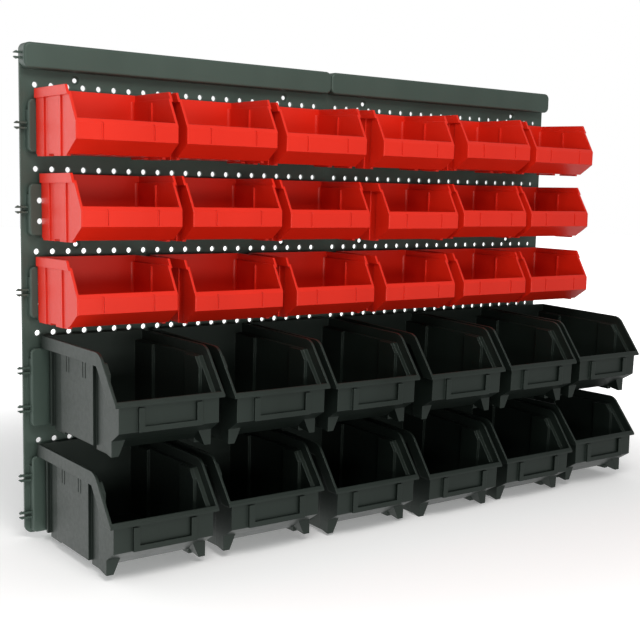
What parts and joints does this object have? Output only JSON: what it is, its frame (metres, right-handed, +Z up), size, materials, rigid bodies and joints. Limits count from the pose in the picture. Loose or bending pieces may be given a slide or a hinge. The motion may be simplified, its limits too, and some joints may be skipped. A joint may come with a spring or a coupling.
{
  "type": "hanging parts bin rack",
  "caption": "Wall rack of joined perforated plastic panels with rails, carrying rows of open-fronted hang-on parts bins in a small red and a large black size.",
  "frame": {"origin": "on the wall plane, on the joint between the two panels, half way up them", "axes": "+X along the wall to the right, +Z up, front faces -Y"},
  "size_m": [0.6457, 0.1595, 0.4291],
  "materials": {
    "panel_plastic": "fine satin texture",
    "red_plastic": "semi-gloss moulded polypropylene",
    "black_plastic": "satin moulded polypropylene"
  },
  "bodies": {
    "rack": {"panel_left": "panel_plastic", "panel_right": "panel_plastic"},
    "small_bin_1_1": {"small_bin_1_1": "red_plastic"},
    "small_bin_1_2": {"small_bin_1_2": "red_plastic"},
    "small_bin_1_3": {"small_bin_1_3": "red_plastic"},
    "small_bin_1_4": {"small_bin_1_4": "red_plastic"},
    "small_bin_1_5": {"small_bin_1_5": "red_plastic"},
    "small_bin_1_6": {"small_bin_1_6": "red_plastic"},
    "small_bin_2_1": {"small_bin_2_1": "red_plastic"},
    "small_bin_2_2": {"small_bin_2_2": "red_plastic"},
    "small_bin_2_3": {"small_bin_2_3": "red_plastic"},
    "small_bin_2_4": {"small_bin_2_4": "red_plastic"},
    "small_bin_2_5": {"small_bin_2_5": "red_plastic"},
    "small_bin_2_6": {"small_bin_2_6": "red_plastic"},
    "small_bin_3_1": {"small_bin_3_1": "red_plastic"},
    "small_bin_3_2": {"small_bin_3_2": "red_plastic"},
    "small_bin_3_3": {"small_bin_3_3": "red_plastic"},
    "small_bin_3_4": {"small_bin_3_4": "red_plastic"},
    "small_bin_3_5": {"small_bin_3_5": "red_plastic"},
    "small_bin_3_6": {"small_bin_3_6": "red_plastic"},
    "large_bin_4_1": {"large_bin_4_1": "black_plastic"},
    "large_bin_4_2": {"large_bin_4_2": "black_plastic"},
    "large_bin_4_3": {"large_bin_4_3": "black_plastic"},
    "large_bin_4_4": {"large_bin_4_4": "black_plastic"},
    "large_bin_4_5": {"large_bin_4_5": "black_plastic"},
    "large_bin_4_6": {"large_bin_4_6": "black_plastic"},
    "large_bin_5_1": {"large_bin_5_1": "black_plastic"},
    "large_bin_5_2": {"large_bin_5_2": "black_plastic"},
    "large_bin_5_3": {"large_bin_5_3": "black_plastic"},
    "large_bin_5_4": {"large_bin_5_4": "black_plastic"},
    "large_bin_5_5": {"large_bin_5_5": "black_plastic"},
    "large_bin_5_6": {"large_bin_5_6": "black_plastic"}
  },
  "joints": [
    {"name": "lift_small_bin_1_1", "type": "slide", "parent": "rack", "child": "small_bin_1_1", "axis": [0, 0, 1], "range_m": [0, 0.009]},
    {"name": "lift_small_bin_1_2", "type": "slide", "parent": "rack", "child": "small_bin_1_2", "axis": [0, 0, 1], "range_m": [0, 0.009]},
    {"name": "lift_small_bin_1_3", "type": "slide", "parent": "rack", "child": "small_bin_1_3", "axis": [0, 0, 1], "range_m": [0, 0.009]},
    {"name": "lift_small_bin_1_4", "type": "slide", "parent": "rack", "child": "small_bin_1_4", "axis": [0, 0, 1], "range_m": [0, 0.009]},
    {"name": "lift_small_bin_1_5", "type": "slide", "parent": "rack", "child": "small_bin_1_5", "axis": [0, 0, 1], "range_m": [0, 0.009]},
    {"name": "lift_small_bin_1_6", "type": "slide", "parent": "rack", "child": "small_bin_1_6", "axis": [0, 0, 1], "range_m": [0, 0.009]},
    {"name": "lift_small_bin_2_1", "type": "slide", "parent": "rack", "child": "small_bin_2_1", "axis": [0, 0, 1], "range_m": [0, 0.009]},
    {"name": "lift_small_bin_2_2", "type": "slide", "parent": "rack", "child": "small_bin_2_2", "axis": [0, 0, 1], "range_m": [0, 0.009]},
    {"name": "lift_small_bin_2_3", "type": "slide", "parent": "rack", "child": "small_bin_2_3", "axis": [0, 0, 1], "range_m": [0, 0.009]},
    {"name": "lift_small_bin_2_4", "type": "slide", "parent": "rack", "child": "small_bin_2_4", "axis": [0, 0, 1], "range_m": [0, 0.009]},
    {"name": "lift_small_bin_2_5", "type": "slide", "parent": "rack", "child": "small_bin_2_5", "axis": [0, 0, 1], "range_m": [0, 0.009]},
    {"name": "lift_small_bin_2_6", "type": "slide", "parent": "rack", "child": "small_bin_2_6", "axis": [0, 0, 1], "range_m": [0, 0.009]},
    {"name": "lift_small_bin_3_1", "type": "slide", "parent": "rack", "child": "small_bin_3_1", "axis": [0, 0, 1], "range_m": [0, 0.009]},
    {"name": "lift_small_bin_3_2", "type": "slide", "parent": "rack", "child": "small_bin_3_2", "axis": [0, 0, 1], "range_m": [0, 0.009]},
    {"name": "lift_small_bin_3_3", "type": "slide", "parent": "rack", "child": "small_bin_3_3", "axis": [0, 0, 1], "range_m": [0, 0.009]},
    {"name": "lift_small_bin_3_4", "type": "slide", "parent": "rack", "child": "small_bin_3_4", "axis": [0, 0, 1], "range_m": [0, 0.009]},
    {"name": "lift_small_bin_3_5", "type": "slide", "parent": "rack", "child": "small_bin_3_5", "axis": [0, 0, 1], "range_m": [0, 0.009]},
    {"name": "lift_small_bin_3_6", "type": "slide", "parent": "rack", "child": "small_bin_3_6", "axis": [0, 0, 1], "range_m": [0, 0.009]},
    {"name": "lift_large_bin_4_1", "type": "slide", "parent": "rack", "child": "large_bin_4_1", "axis": [0, 0, 1], "range_m": [0, 0.009]},
    {"name": "lift_large_bin_4_2", "type": "slide", "parent": "rack", "child": "large_bin_4_2", "axis": [0, 0, 1], "range_m": [0, 0.009]},
    {"name": "lift_large_bin_4_3", "type": "slide", "parent": "rack", "child": "large_bin_4_3", "axis": [0, 0, 1], "range_m": [0, 0.009]},
    {"name": "lift_large_bin_4_4", "type": "slide", "parent": "rack", "child": "large_bin_4_4", "axis": [0, 0, 1], "range_m": [0, 0.009]},
    {"name": "lift_large_bin_4_5", "type": "slide", "parent": "rack", "child": "large_bin_4_5", "axis": [0, 0, 1], "range_m": [0, 0.009]},
    {"name": "lift_large_bin_4_6", "type": "slide", "parent": "rack", "child": "large_bin_4_6", "axis": [0, 0, 1], "range_m": [0, 0.009]},
    {"name": "lift_large_bin_5_1", "type": "slide", "parent": "rack", "child": "large_bin_5_1", "axis": [0, 0, 1], "range_m": [0, 0.009]},
    {"name": "lift_large_bin_5_2", "type": "slide", "parent": "rack", "child": "large_bin_5_2", "axis": [0, 0, 1], "range_m": [0, 0.009]},
    {"name": "lift_large_bin_5_3", "type": "slide", "parent": "rack", "child": "large_bin_5_3", "axis": [0, 0, 1], "range_m": [0, 0.009]},
    {"name": "lift_large_bin_5_4", "type": "slide", "parent": "rack", "child": "large_bin_5_4", "axis": [0, 0, 1], "range_m": [0, 0.009]},
    {"name": "lift_large_bin_5_5", "type": "slide", "parent": "rack", "child": "large_bin_5_5", "axis": [0, 0, 1], "range_m": [0, 0.009]},
    {"name": "lift_large_bin_5_6", "type": "slide", "parent": "rack", "child": "large_bin_5_6", "axis": [0, 0, 1], "range_m": [0, 0.009]}
  ]
}
